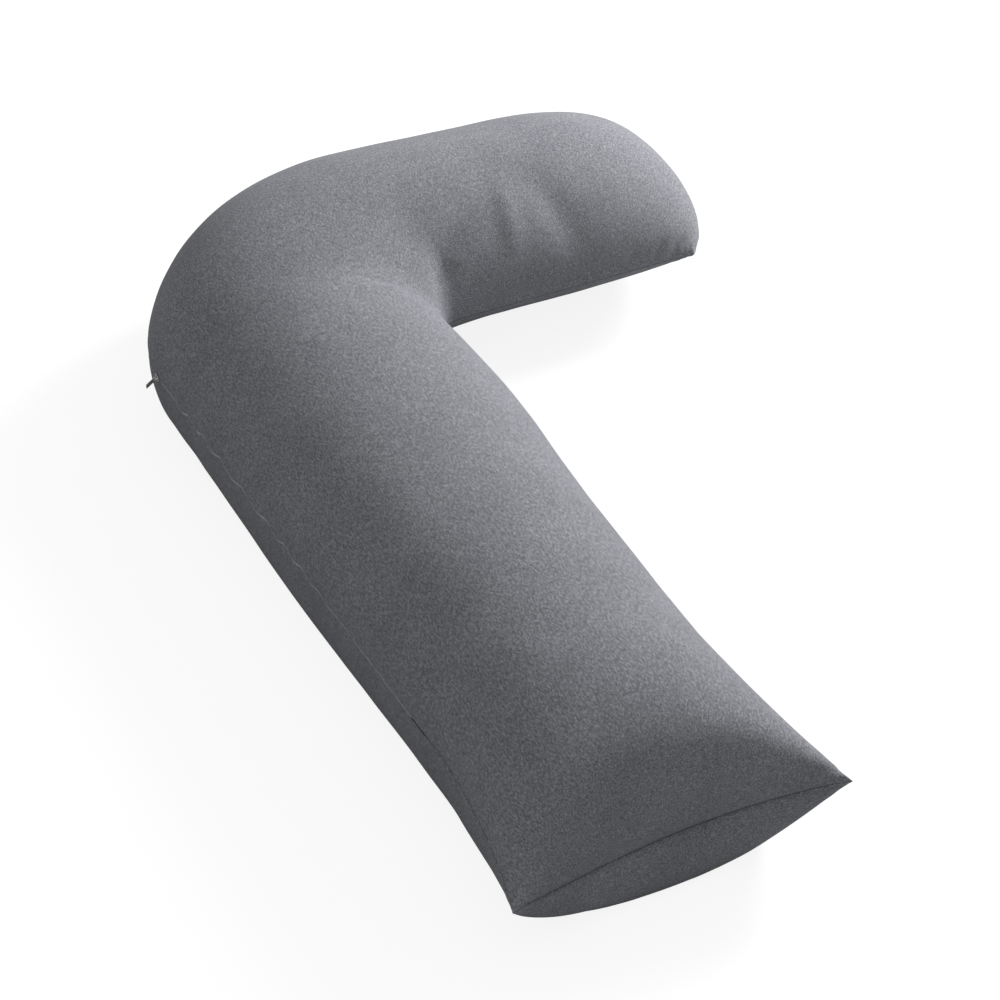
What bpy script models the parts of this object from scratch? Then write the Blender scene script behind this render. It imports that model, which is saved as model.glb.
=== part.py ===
"""Corner-shaped nursing pillow: a zipped jersey cover over a fibre-filled liner.

Units are metres, +Z up. The pillow lies flat on the plane z = 0. The long arm runs
along -Y and the short arm along +X. The origin is on the resting face, under the
point where the centre lines of the two arms cross.

The cushion is one lofted skin. A station s runs along the pillow from the free end
of the long arm, round the elbow, to the free end of the short arm. An angle runs
across it, from 0 at the outer seam to pi at the inner seam. Every soft layer is the
same skin drawn in by its own inset, so the layers nest with an even space between.
"""

import math

import bmesh
import bpy
import numpy as np

MM = 0.001

# Plan of the pillow.
LONG_REACH = 1.05
SHORT_REACH = 0.559
LONG_HALF_WIDTH = 0.166
LONG_END_HALF_WIDTH = 0.1465
SHORT_HALF_WIDTH = 0.1635
ELBOW_FROM = 0.100
ELBOW_TO = 0.134
ELBOW_LONG_HANDLE = 0.080
ELBOW_SHORT_HANDLE = 0.190
INNER_FILLET = 0.030
INNER_BELLY = 0.0136
INNER_BELLY_AT = 0.807
BELLY_SPREAD = 0.22

# Heights: of the seam above the floor, and of the skin above and below the seam.
LONG_SEAM_HEIGHT = 0.080
SHORT_SEAM_HEIGHT = 0.086
LONG_RISE = 0.109
SHORT_RISE = 0.123
ELBOW_RISE = 0.014
SHORT_END_FALL = 0.012
ELBOW_RISE_SPREAD = 0.18
SHORT_FALL_SPREAD = 0.20
SHORT_BLEND = 0.20
LONG_DEPTH = 0.134
SHORT_DEPTH = 0.091
LONG_UNDER_BELLY = 0.018
MID_UNDER_BELLY = 0.010
MID_BELLY_AT = 0.642
MID_BELLY_SPREAD = 0.25
UNDER_BELLY_PUSH = 2.6
UNDERCUT_PUSH = 2.0
SHORT_UNDERCUT = 0.037

# Square ends with pointed ears.
LONG_END_ROUND = 0.179
SHORT_END_ROUND = 0.181
LONG_END_BULGE = 0.028
LONG_UNDER_END_BULGE = 0.069
SHORT_END_BULGE = 0.0325
EAR_FLARE = 0.036
INNER_EAR_LIFT = 0.010
EAR_RUN = 0.24
LONG_END_PULL = 0.0395
LONG_PULL_FADE = 0.12
LONG_END_SAG = 0.021
SAG_SKEW = 0.65
SAG_FADE_ABOVE = 0.036
SAG_FADE_BELOW = 0.020
SHORT_EAR_PULL = 0.0417
SHORT_PULL_FADE = 0.08

# Fabric layers, as insets from the outside of the cover.
COVER_THICKNESS = 0.9 * MM
SEAM_HALF_GAP = 0.3 * MM
ZIP_HALF_SLIT = 1.3 * MM
SLIT_TAPER = 0.02
SLIT_REACH = 0.3
THREAD_RADIUS = 0.25 * MM
COVER_THREAD_INSET = 1.5 * MM
TAPE_INSET = 2.1 * MM
TAPE_THICKNESS = 0.5 * MM
COVER_LABEL_INSET = 3.0 * MM
LINER_LABEL_INSET = 5.0 * MM
LABEL_THICKNESS = 0.3 * MM
LINER_THREAD_INSET = 5.2 * MM
LINER_INSET = 5.8 * MM
LINER_THICKNESS = 0.6 * MM
FILLING_INSET = LINER_INSET + LINER_THICKNESS + 0.4 * MM

# Angles across the skin shared by the panels and the zip tapes, so their facets match.
TAPE_ANGLES = (0.021, 0.060, 0.115)
PANEL_EDGE_ANGLE = 0.22
STITCH_ANGLE = TAPE_ANGLES[1]

# Zip, in its own frame: x out of the pillow, y along the zip as it opens, z up.
ZIP_HOME = 0.006
ZIP_END_MARGIN = 0.035
COIL_RADIUS = 0.7 * MM
COIL_DEPTH = 2.35 * MM
COIL_OFFSET = 1.25 * MM
SLIDER_LENGTH = 11.0 * MM
SLIDER_WIDTH = 8.4 * MM
SLIDER_PLATE = 1.0 * MM
PLATE_TAPER = 0.16
PLATE_BEVEL = 0.25 * MM
OUTER_PLATE_FROM = 0.4 * MM
INNER_PLATE_FROM = -4.4 * MM
BRIDGE_LENGTH = 4.0 * MM
BRIDGE_THICKNESS = 0.5 * MM
BRIDGE_AT = -2.5 * MM
ARCH_HALF_SPAN = 2.6 * MM
ARCH_HEIGHT = 2.6 * MM
ARCH_RADIUS = 0.5 * MM
STOP_LENGTH = 2.4 * MM
STOP_GAP = 0.4 * MM
STOP_CLEARANCE = 0.2 * MM
STOP_BEVEL = 0.3 * MM

# Pull tab, in its own frame: x from the hinge to the tip, z along the hinge.
HINGE_OUT = 2.2 * MM
PULL_LENGTH = 20.0 * MM
PULL_WIDTH = 5.6 * MM
PULL_THICKNESS = 1.0 * MM
PULL_BEVEL = 0.3 * MM
PULL_WINDOW_LENGTH = 4.6 * MM
PULL_WINDOW_WIDTH = 3.2 * MM
PULL_REST_ANGLE = math.radians(35)

# Lengths of the three stretches of the loft, along its middle.
INNER_FROM = SHORT_HALF_WIDTH + INNER_FILLET
INNER_TO = LONG_HALF_WIDTH + INNER_FILLET
LONG_RUN = LONG_REACH - (ELBOW_FROM + INNER_FROM) / 2
ELBOW_RUN = 0.30
SHORT_RUN = SHORT_REACH - (ELBOW_TO + INNER_TO) / 2
TOTAL_RUN = LONG_RUN + ELBOW_RUN + SHORT_RUN
ELBOW_MIDDLE = LONG_RUN + ELBOW_RUN / 2

# Handle length of a cubic curve that follows a quarter round, as a share of its radius.
ROUND_HANDLE = 0.55

COLLECTION_NAME = "nursing_pillow"


def clear_scene():
    for obj in list(bpy.data.objects):
        bpy.data.objects.remove(obj)


def new_material(name, colour, roughness, metallic=0.0):
    material = bpy.data.materials.new(name)
    material.use_nodes = True
    shader = material.node_tree.nodes["Principled BSDF"]
    shader.inputs["Base Color"].default_value = (*colour, 1.0)
    shader.inputs["Roughness"].default_value = roughness
    shader.inputs["Metallic"].default_value = metallic
    return material


def make_materials():
    return {
        "jersey": new_material("grey_heather_jersey", (0.19, 0.19, 0.205), 0.95),
        "liner": new_material("white_liner_cloth", (0.80, 0.80, 0.78), 0.9),
        "fibre": new_material("white_polyester_fibre", (0.88, 0.88, 0.86), 1.0),
        "tape": new_material("grey_zip_tape", (0.22, 0.22, 0.235), 0.85),
        "nylon": new_material("pale_zip_nylon", (0.42, 0.42, 0.43), 0.45),
        "metal": new_material("nickel_zip_metal", (0.62, 0.63, 0.62), 0.3, 1.0),
        "thread": new_material("grey_sewing_thread", (0.16, 0.16, 0.17), 0.7),
        "label": new_material("white_label_satin", (0.85, 0.85, 0.84), 0.6),
    }


# The skin of the cushion.


def bell(distance):
    return np.exp(-(distance**2))


def smooth_step(value):
    value = np.clip(value, 0.0, 1.0)
    return value * value * (3 - 2 * value)


def dome(distance, radius):
    """Height of a quarter round, from 0 at its foot to 1 at radius and beyond."""
    return np.sqrt(1 - (1 - np.minimum(distance / radius, 1.0)) ** 2)


def long_arm_edges(u, inset):
    """Outer and inner plan points; u runs from 0 at the free end to 1 at the elbow."""
    ear = EAR_FLARE * max(0.0, 1 - u * LONG_RUN / EAR_RUN) ** 2
    half = LONG_END_HALF_WIDTH + (LONG_HALF_WIDTH - LONG_END_HALF_WIDTH) * u + ear - inset
    reach = LONG_REACH - inset
    scale = LONG_REACH / BELLY_SPREAD
    belly = bell((u - INNER_BELLY_AT) * scale) - bell((1 - INNER_BELLY_AT) * scale) * u**4
    outer = (-half, -(reach + (ELBOW_FROM - reach) * u))
    inner = (half + INNER_BELLY * belly, -(reach + (INNER_FROM - reach) * u))
    return outer, inner


def elbow_edges(t, inset):
    """The outer edge is one cubic curve, the inner edge a fillet; t runs from 0 to 1."""
    side = LONG_HALF_WIDTH - inset
    back = SHORT_HALF_WIDTH - inset
    shorter = ROUND_HANDLE * inset
    curve = np.array(
        [
            (-side, -ELBOW_FROM),
            (-side, ELBOW_LONG_HANDLE - shorter - ELBOW_FROM),
            (ELBOW_TO - ELBOW_SHORT_HANDLE + shorter, back),
            (ELBOW_TO, back),
        ]
    )
    weights = np.array([(1 - t) ** 3, 3 * (1 - t) ** 2 * t, 3 * (1 - t) * t * t, t**3])
    angle = math.pi * (1 - t / 2)
    radius = INNER_FILLET + inset
    inner = (INNER_TO + radius * math.cos(angle), -INNER_FROM + radius * math.sin(angle))
    return tuple(weights @ curve), inner


def short_arm_edges(u, inset):
    """Outer and inner plan points; u runs from 0 at the elbow to 1 at the free end."""
    half = SHORT_HALF_WIDTH - inset
    reach = SHORT_REACH - inset
    outer = (ELBOW_TO + (reach - ELBOW_TO) * u, half)
    inner = (INNER_TO + (reach - INNER_TO) * u, -half)
    return outer, inner


def plan_edges(stations, inset):
    pairs = []
    for s in stations:
        if s <= LONG_RUN:
            pairs.append(long_arm_edges(s / LONG_RUN, inset))
        elif s <= LONG_RUN + ELBOW_RUN:
            pairs.append(elbow_edges((s - LONG_RUN) / ELBOW_RUN, inset))
        else:
            pairs.append(short_arm_edges((s - LONG_RUN - ELBOW_RUN) / SHORT_RUN, inset))
    edges = np.array(pairs)
    return edges[:, 0], edges[:, 1]


def skin(stations, angles, side, inset, half_gap=0.0):
    """Points of the skin, as rows along the pillow; side is 1 above the seam, -1 below."""
    s = np.asarray(stations)[:, None]
    across = np.asarray(angles)[None, :]
    sine, cosine = np.sin(across), np.cos(across)
    outer, inner = plan_edges(stations, inset)
    to_end, to_far_end = s, TOTAL_RUN - s
    full = dome(to_end, LONG_END_ROUND) * dome(to_far_end, SHORT_END_ROUND)
    short = smooth_step((s - LONG_RUN) / (ELBOW_RUN + SHORT_BLEND * SHORT_RUN))
    middle = bell((s / LONG_RUN - MID_BELLY_AT) * LONG_REACH / MID_BELLY_SPREAD)

    if side > 0:
        height = LONG_RISE * (1 - short) + SHORT_RISE * short
        height = height + ELBOW_RISE * bell((s - ELBOW_MIDDLE) / ELBOW_RISE_SPREAD)
        height = height - SHORT_END_FALL * bell(to_far_end / SHORT_FALL_SPREAD) - inset
        sideways = 0.0 * s
    else:
        height = LONG_DEPTH * (1 - short) + SHORT_DEPTH * short - inset
        under = (LONG_UNDER_BELLY + MID_UNDER_BELLY * middle) * (1 - short)
        sideways = UNDER_BELLY_PUSH * under * sine**2 - UNDERCUT_PUSH * SHORT_UNDERCUT * short * sine

    half_width = np.linalg.norm(outer - inner, axis=1)[:, None] / 2
    reach = cosine + sideways * cosine * full / half_width
    share = ((1 - reach) / 2)[..., None]
    plan = outer[:, None, :] * (1 - share) + inner[:, None, :] * share

    bulge = (LONG_UNDER_END_BULGE if side < 0 else LONG_END_BULGE) * sine**2
    near_end = dome(to_end, LONG_END_ROUND) * np.clip(1 - to_end / LONG_END_ROUND, 0, 1)
    far_end = dome(to_far_end, SHORT_END_ROUND) * np.clip(1 - to_far_end / SHORT_END_ROUND, 0, 1)
    plan[..., 1] += LONG_END_PULL * np.exp(-to_end / LONG_PULL_FADE) * sine**2 - bulge * near_end
    plan[..., 0] += SHORT_END_BULGE * sine**2 * far_end
    plan[..., 0] -= SHORT_EAR_PULL * np.exp(-to_far_end / SHORT_PULL_FADE) * cosine**4

    seam = LONG_SEAM_HEIGHT * (1 - short) + SHORT_SEAM_HEIGHT * short
    ear_lift = INNER_EAR_LIFT * np.maximum(-cosine, 0) ** 3
    sag = LONG_END_SAG * sine**2 * (1 + SAG_SKEW * cosine)
    sag_fade = SAG_FADE_ABOVE if side > 0 else SAG_FADE_BELOW
    seam = seam + ear_lift * np.clip(1 - to_end / EAR_RUN, 0, 1) ** 2 - sag * bell(to_end / sag_fade)
    level = seam + side * (half_gap + height * full * sine)
    if side < 0:
        level = np.maximum(level, inset)
    return np.dstack([plan, level])


def rounded(length, count):
    """Distances from an end, close together where the end curves down to its seam."""
    return length * (1 - np.cos(np.linspace(0, math.pi / 2, count, endpoint=False)))


ZIP_LOW_STATION = EAR_RUN
ZIP_HIGH_STATION = LONG_RUN
COVER_STATIONS = np.concatenate(
    [
        rounded(LONG_END_ROUND, 6),
        [LONG_END_ROUND, ZIP_LOW_STATION - SLIT_TAPER],
        np.linspace(ZIP_LOW_STATION, ZIP_HIGH_STATION, 11),
        np.linspace(LONG_RUN + SLIT_TAPER, LONG_RUN + ELBOW_RUN, 9),
        np.linspace(LONG_RUN + ELBOW_RUN, TOTAL_RUN - SHORT_END_ROUND, 4)[1:],
        TOTAL_RUN - rounded(SHORT_END_ROUND, 6)[::-1],
    ]
)
EDGE_ANGLES = np.array([0.0, *TAPE_ANGLES, PANEL_EDGE_ANGLE])
MIDDLE_ANGLES = np.linspace(PANEL_EDGE_ANGLE, math.pi - PANEL_EDGE_ANGLE, 11)[1:-1]
COVER_ANGLES = np.concatenate([EDGE_ANGLES, MIDDLE_ANGLES, math.pi - EDGE_ANGLES[::-1]])
LINER_STATIONS = np.concatenate(
    [
        rounded(LONG_END_ROUND, 4),
        np.linspace(LONG_END_ROUND, LONG_RUN, 8),
        np.linspace(LONG_RUN, LONG_RUN + ELBOW_RUN, 7)[1:],
        np.linspace(LONG_RUN + ELBOW_RUN, TOTAL_RUN - SHORT_END_ROUND, 3)[1:],
        TOTAL_RUN - rounded(SHORT_END_ROUND, 4)[::-1],
    ]
)
LINER_ANGLES = np.linspace(0, math.pi, 14)


# Making solids from the skin.

WIRE_RESOLUTION = 1
MERGE_DISTANCE = 0.001 * MM


def new_object(name, data, material):
    obj = bpy.data.objects.new(name, data)
    bpy.data.collections[COLLECTION_NAME].objects.link(obj)
    data.materials.append(material)
    return obj


def object_from_bmesh(name, bm, material):
    bmesh.ops.recalc_face_normals(bm, faces=bm.faces)
    if bm.calc_volume(signed=True) < 0:
        bmesh.ops.reverse_faces(bm, faces=bm.faces)
    mesh = bpy.data.meshes.new(name)
    bm.to_mesh(mesh)
    bm.free()
    obj = new_object(name, mesh, material)
    mesh.shade_smooth()
    mesh.set_sharp_from_angle(angle=math.radians(50))
    return obj


def add_grid(bm, points):
    """Adds a grid of quads and returns its vertices, row by row."""
    rows = [[bm.verts.new(point) for point in row] for row in points]
    for row, after in zip(rows, rows[1:]):
        for k in range(len(row) - 1):
            bm.faces.new((row[k], row[k + 1], after[k + 1], after[k]))
    return rows


def border(rows):
    """The vertices round the edge of a grid, in order."""
    down = [row[-1] for row in rows[1:-1]]
    up = [row[0] for row in rows[-2:0:-1]]
    return rows[0] + down + rows[-1][::-1] + up


def fabric_sheet(name, outside, inside, material):
    """A sheet of cloth between two matching grids, closed round its edge."""
    bm = bmesh.new()
    outer_border = border(add_grid(bm, outside))
    inner_border = border(add_grid(bm, inside))
    for k, vertex in enumerate(outer_border):
        bm.faces.new((vertex, outer_border[k - 1], inner_border[k - 1], inner_border[k]))
    return object_from_bmesh(name, bm, material)


def opened_for_zip(points, side):
    """Draws the panel's edge back from the coils along the zip, and shuts it past each end."""
    low = (COVER_STATIONS - ZIP_LOW_STATION) / SLIT_TAPER + 1
    high = (ZIP_HIGH_STATION - COVER_STATIONS) / SLIT_TAPER + 1
    open_share = np.clip(np.minimum(low, high), 0, 1)[:, None]
    near_edge = np.clip(1 - COVER_ANGLES / SLIT_REACH, 0, 1)[None, :]
    points[..., 2] += side * (ZIP_HALF_SLIT - SEAM_HALF_GAP) * open_share * near_edge
    return points


def make_cover_panel(name, side, material):
    faces = [
        opened_for_zip(skin(COVER_STATIONS, COVER_ANGLES, side, inset, SEAM_HALF_GAP), side)
        for inset in (0.0, COVER_THICKNESS)
    ]
    return fabric_sheet(name, *faces, material)


def make_liner_panel(name, side, material):
    faces = [
        skin(LINER_STATIONS, LINER_ANGLES, side, inset, SEAM_HALF_GAP)
        for inset in (LINER_INSET, LINER_INSET + LINER_THICKNESS)
    ]
    return fabric_sheet(name, *faces, material)


def make_filling(material):
    bm = bmesh.new()
    for side in (1, -1):
        add_grid(bm, skin(LINER_STATIONS, LINER_ANGLES, side, FILLING_INSET))
    bmesh.ops.remove_doubles(bm, verts=bm.verts, dist=MERGE_DISTANCE)
    return object_from_bmesh("fibre_filling", bm, material)


def make_patch(name, stations, angles, side, inset, thickness, material):
    """A strip or label that lies along the skin."""
    faces = [skin(stations, angles, side, depth) for depth in (inset, inset + thickness)]
    return fabric_sheet(name, *faces, material)


def make_wire(name, points, radius, material):
    """A thread or a wire through the given points."""
    curve = bpy.data.curves.new(name, "CURVE")
    curve.dimensions = "3D"
    curve.bevel_depth = radius
    curve.bevel_resolution = WIRE_RESOLUTION
    curve.use_fill_caps = True
    spline = curve.splines.new("POLY")
    spline.points.add(len(points) - 1)
    for target, point in zip(spline.points, points):
        target.co = (*point, 1.0)
    return new_object(name, curve, material)


def seam_path(stations, angles, inset, start, stop):
    """Points along the panel seam from station start on the outer side, down past the free
    end of the long arm, along the inner side, round the other end and back to stop."""

    def line(part, across):
        return skin(part, across, 1, inset).reshape(-1, 3)

    down = line([start, *stations[stations < start][::-1]], [0.0])
    near_end = line([stations[0]], angles[1:-1])
    inner = line(stations, [math.pi])
    far_end = line([stations[-1]], angles[-2:0:-1])
    back = line([*stations[stations > stop][::-1], stop], [0.0])
    return np.concatenate([down, near_end, inner, far_end, back])


def make_cover_thread(material):
    path = seam_path(
        COVER_STATIONS,
        COVER_ANGLES[4:-4],
        COVER_THREAD_INSET,
        ZIP_LOW_STATION - SLIT_TAPER,
        ZIP_HIGH_STATION + SLIT_TAPER,
    )
    return make_wire("cover_seam_thread", path, THREAD_RADIUS, material)


CLOSING_FROM = LONG_RUN + ELBOW_RUN + 0.05
CLOSING_LENGTH = 0.15
CLOSING_STITCHES = 12
CLOSING_BITE = 2.0 * MM

LINER_LABEL_FROM = LONG_RUN + ELBOW_RUN + 0.05
LINER_LABEL_WIDTH = 0.035
LINER_LABEL_HEIGHT = 0.042
LINER_LABEL_SEAM_GAP = 0.002


def make_liner_threads(material):
    """The machine seam stops at the opening for the filling, which is closed by hand."""
    path = seam_path(
        LINER_STATIONS, LINER_ANGLES, LINER_THREAD_INSET, CLOSING_FROM, CLOSING_FROM + CLOSING_LENGTH
    )
    make_wire("liner_seam_thread", path, THREAD_RADIUS, material)
    first = CLOSING_FROM + CLOSING_BITE
    last = CLOSING_FROM + CLOSING_LENGTH - CLOSING_BITE
    stations = np.linspace(first, last, 2 * CLOSING_STITCHES)
    zigzag = skin(stations, [0.0], 1, LINER_THREAD_INSET).reshape(-1, 3)
    zigzag[0::2, 2] += CLOSING_BITE
    zigzag[1::2, 2] -= CLOSING_BITE
    make_wire("liner_closing_stitch", zigzag, THREAD_RADIUS, material)


def make_labels(material):
    """Blank fabric labels, one inside the cover near the zip and one outside the liner."""
    past_zip = np.searchsorted(COVER_STATIONS, LONG_RUN + 2 * SLIT_TAPER)
    cover_stations = COVER_STATIONS[past_zip : past_zip + 2]
    cover_angles = COVER_ANGLES[1:5]
    make_patch(
        "cover_care_label",
        cover_stations,
        cover_angles,
        -1,
        COVER_LABEL_INSET,
        LABEL_THICKNESS,
        material,
    )
    liner_stations = LINER_LABEL_FROM + np.linspace(0, LINER_LABEL_WIDTH, 3)
    heights = np.linspace(LINER_LABEL_HEIGHT, LINER_LABEL_SEAM_GAP, 4)
    liner_angles = math.pi - np.arcsin(heights / SHORT_RISE)
    make_patch(
        "liner_care_label",
        liner_stations,
        liner_angles,
        1,
        LINER_LABEL_INSET,
        LABEL_THICKNESS,
        material,
    )


# The zip.


def zip_ends():
    high, low = skin([ZIP_HIGH_STATION, ZIP_LOW_STATION], [0.0], 1, 0.0)[:, 0]
    return high, low


def make_zip_frame():
    """An empty at the closed slider: x out of the pillow, y as the zip opens, z up."""
    high, low = zip_ends()
    along = (low - high) / np.linalg.norm(low - high)
    frame = bpy.data.objects.new("zip_frame", None)
    bpy.data.collections[COLLECTION_NAME].objects.link(frame)
    frame.location = high + along * ZIP_HOME
    frame.rotation_euler = (0.0, 0.0, math.atan2(along[1], along[0]) - math.pi / 2)
    return frame


def zip_travel():
    high, low = zip_ends()
    return float(np.linalg.norm(low - high)) - ZIP_HOME - ZIP_END_MARGIN


def make_zip_tapes(material):
    stations = COVER_STATIONS[
        (COVER_STATIONS > ZIP_LOW_STATION - 1.5 * SLIT_TAPER)
        & (COVER_STATIONS < ZIP_HIGH_STATION + 1.5 * SLIT_TAPER)
    ]
    for name, side in (("zip_tape_upper", 1), ("zip_tape_lower", -1)):
        make_patch(name, stations, TAPE_ANGLES, side, TAPE_INSET, TAPE_THICKNESS, material)


def make_zip_stitches(material):
    stations = COVER_STATIONS[
        (COVER_STATIONS >= ZIP_LOW_STATION) & (COVER_STATIONS <= ZIP_HIGH_STATION)
    ]
    for name, side in (("zip_stitch_upper", 1), ("zip_stitch_lower", -1)):
        path = skin(stations, [STITCH_ANGLE], side, COVER_THREAD_INSET).reshape(-1, 3)
        make_wire(name, path, THREAD_RADIUS, material)


def make_zip_coils(frame, material):
    start = -SLIDER_LENGTH / 2
    stop = zip_travel() + SLIDER_LENGTH / 2
    for name, side in (("zip_coil_upper", 1), ("zip_coil_lower", -1)):
        ends = [(-COIL_DEPTH, y, side * COIL_OFFSET) for y in (start, stop)]
        make_wire(name, ends, COIL_RADIUS, material).parent = frame


def block(size, centre):
    bm = bmesh.new()
    bmesh.ops.create_cube(bm, size=1.0)
    bmesh.ops.scale(bm, vec=size, verts=bm.verts)
    bmesh.ops.translate(bm, vec=centre, verts=bm.verts)
    return bm


def add_bevel(obj, width):
    bevel = obj.modifiers.new("bevel", "BEVEL")
    bevel.width = width
    bevel.segments = 2
    bevel.limit_method = "ANGLE"
    bevel.angle_limit = math.radians(40)


def make_zip_stops(frame, material):
    """Two stops at the closed end, one a tape, and one across both tapes at the other end."""
    top = -SLIDER_LENGTH / 2 - STOP_GAP - STOP_LENGTH / 2
    bottom = zip_travel() + SLIDER_LENGTH / 2 + STOP_GAP + STOP_LENGTH / 2
    thickness = 2 * COIL_RADIUS
    width = 2 * COIL_RADIUS - STOP_CLEARANCE
    places = (
        ("zip_top_stop_upper", top, COIL_OFFSET, width),
        ("zip_top_stop_lower", top, -COIL_OFFSET, width),
        ("zip_bottom_stop", bottom, 0.0, 2 * COIL_OFFSET + width),
    )
    for name, y, z, size in places:
        bm = block((thickness, STOP_LENGTH, size), (0, 0, 0))
        stop = object_from_bmesh(name, bm, material)
        stop.parent = frame
        stop.location = (-COIL_DEPTH, y, z)
        add_bevel(stop, STOP_BEVEL)


def slider_plate(name, base, material):
    """A shield-shaped plate: broad shoulders towards the closed end, a narrower tail."""
    bm = bmesh.new()
    bmesh.ops.create_cone(bm, cap_ends=True, segments=32, radius1=1, radius2=1, depth=1)
    for vertex in bm.verts:
        around_x, around_y, up = vertex.co
        squared = (abs(around_x) ** 4 + abs(around_y) ** 4) ** 0.25
        along = around_y / squared
        across = around_x / squared * (1 - PLATE_TAPER * along)
        vertex.co = (
            base + SLIDER_PLATE * (up + 0.5),
            along * SLIDER_LENGTH / 2,
            across * SLIDER_WIDTH / 2,
        )
    plate = object_from_bmesh(name, bm, material)
    add_bevel(plate, PLATE_BEVEL)
    return plate


def as_mesh(obj):
    """Replaces a curve or a modified mesh by the mesh that it shows."""
    graph = bpy.context.evaluated_depsgraph_get()
    mesh = bpy.data.meshes.new_from_object(obj.evaluated_get(graph))
    name = obj.name
    bpy.data.objects.remove(obj)
    solid = bpy.data.objects.new(name, mesh)
    bpy.data.collections[COLLECTION_NAME].objects.link(solid)
    bm = bmesh.new()
    bm.from_mesh(mesh)
    bmesh.ops.remove_doubles(bm, verts=bm.verts, dist=MERGE_DISTANCE)
    bm.to_mesh(mesh)
    bm.free()
    return solid


def joined(base, others, operation="UNION"):
    """Joins the other solids to the base, or cuts them from it, and removes them."""
    for other in others:
        boolean = base.modifiers.new(operation.lower(), "BOOLEAN")
        boolean.operation = operation
        boolean.object = other
    bpy.context.view_layer.update()
    result = as_mesh(base)
    for other in others:
        bpy.data.objects.remove(other)
    result.data.shade_smooth()
    result.data.set_sharp_from_angle(angle=math.radians(40))
    return result


def make_slider(frame, material):
    outer = as_mesh(slider_plate("zip_slider_body", OUTER_PLATE_FROM, material))
    inner = as_mesh(slider_plate("slider_inner_plate", INNER_PLATE_FROM, material))
    outer_middle = OUTER_PLATE_FROM + SLIDER_PLATE / 2
    inner_middle = INNER_PLATE_FROM + SLIDER_PLATE / 2
    bridge_size = (outer_middle - inner_middle, BRIDGE_LENGTH, BRIDGE_THICKNESS)
    bridge_centre = ((outer_middle + inner_middle) / 2, BRIDGE_AT, 0)
    bridge = object_from_bmesh("slider_bridge", block(bridge_size, bridge_centre), material)
    arch_points = [
        (outer_middle + ARCH_HEIGHT * math.sin(turn), ARCH_HALF_SPAN * math.cos(turn), 0)
        for turn in np.linspace(0, math.pi, 13)
    ]
    arch = as_mesh(make_wire("slider_arch", arch_points, ARCH_RADIUS, material))
    slider = joined(outer, [inner, bridge, arch])
    slider.parent = frame
    return slider


def make_pull(slider, material):
    """A flat tab with a window, whose end bar sits under the slider's arch."""
    bar = PULL_THICKNESS / 2
    size = (PULL_LENGTH + bar, PULL_THICKNESS, PULL_WIDTH)
    tab = object_from_bmesh("zip_pull_tab", block(size, ((PULL_LENGTH - bar) / 2, 0, 0)), material)
    add_bevel(tab, PULL_BEVEL)
    cut_size = (PULL_WINDOW_LENGTH, 3 * PULL_THICKNESS, PULL_WINDOW_WIDTH)
    cut_centre = (bar + PULL_WINDOW_LENGTH / 2, 0, 0)
    window = object_from_bmesh("pull_window", block(cut_size, cut_centre), material)
    pull = joined(as_mesh(tab), [window], "DIFFERENCE")
    pull.parent = slider
    pull.location = (HINGE_OUT, 0, 0)
    pull.rotation_euler = (0, 0, PULL_REST_ANGLE)
    return pull


def main():
    clear_scene()
    collection = bpy.data.collections.new(COLLECTION_NAME)
    bpy.context.scene.collection.children.link(collection)
    materials = make_materials()
    make_cover_panel("cover_top_panel", 1, materials["jersey"])
    make_cover_panel("cover_bottom_panel", -1, materials["jersey"])
    make_cover_thread(materials["thread"])
    make_liner_panel("liner_top_panel", 1, materials["liner"])
    make_liner_panel("liner_bottom_panel", -1, materials["liner"])
    make_liner_threads(materials["thread"])
    make_filling(materials["fibre"])
    make_labels(materials["label"])
    make_zip_tapes(materials["tape"])
    make_zip_stitches(materials["thread"])
    frame = make_zip_frame()
    make_zip_coils(frame, materials["nylon"])
    make_zip_stops(frame, materials["metal"])
    slider = make_slider(frame, materials["metal"])
    make_pull(slider, materials["metal"])


main()
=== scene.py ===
"""Looks of the corner-shaped nursing pillow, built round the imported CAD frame.

Units are metres, +Z up. The skin of the cushion is the same loft that the CAD uses: a
station s runs along the pillow from the free end of the long arm, round the elbow, to the
free end of the short arm, and an angle runs across it, from 0 at the outer seam to pi at
the inner seam. A cloth simulation and sculpted folds are added to it as relief, and every
soft layer, stitch and zip part is laid on that one relief, so they stay nested.
"""

import math

import bmesh
import bpy
import numpy as np
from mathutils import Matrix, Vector, noise


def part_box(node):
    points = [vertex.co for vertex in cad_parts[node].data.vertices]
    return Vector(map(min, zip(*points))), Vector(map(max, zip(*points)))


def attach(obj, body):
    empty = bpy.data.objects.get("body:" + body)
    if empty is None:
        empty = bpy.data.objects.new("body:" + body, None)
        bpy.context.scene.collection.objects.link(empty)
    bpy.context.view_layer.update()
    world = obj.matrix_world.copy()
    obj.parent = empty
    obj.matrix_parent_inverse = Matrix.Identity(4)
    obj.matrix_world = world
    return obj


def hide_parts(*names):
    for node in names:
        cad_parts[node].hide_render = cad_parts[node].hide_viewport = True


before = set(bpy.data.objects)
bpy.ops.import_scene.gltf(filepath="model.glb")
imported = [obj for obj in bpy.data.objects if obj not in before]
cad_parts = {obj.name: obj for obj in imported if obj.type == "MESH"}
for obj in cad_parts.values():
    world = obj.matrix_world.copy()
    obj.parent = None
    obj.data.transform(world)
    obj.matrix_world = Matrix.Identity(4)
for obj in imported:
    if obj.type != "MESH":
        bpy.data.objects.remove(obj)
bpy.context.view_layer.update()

MM = 0.001

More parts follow.
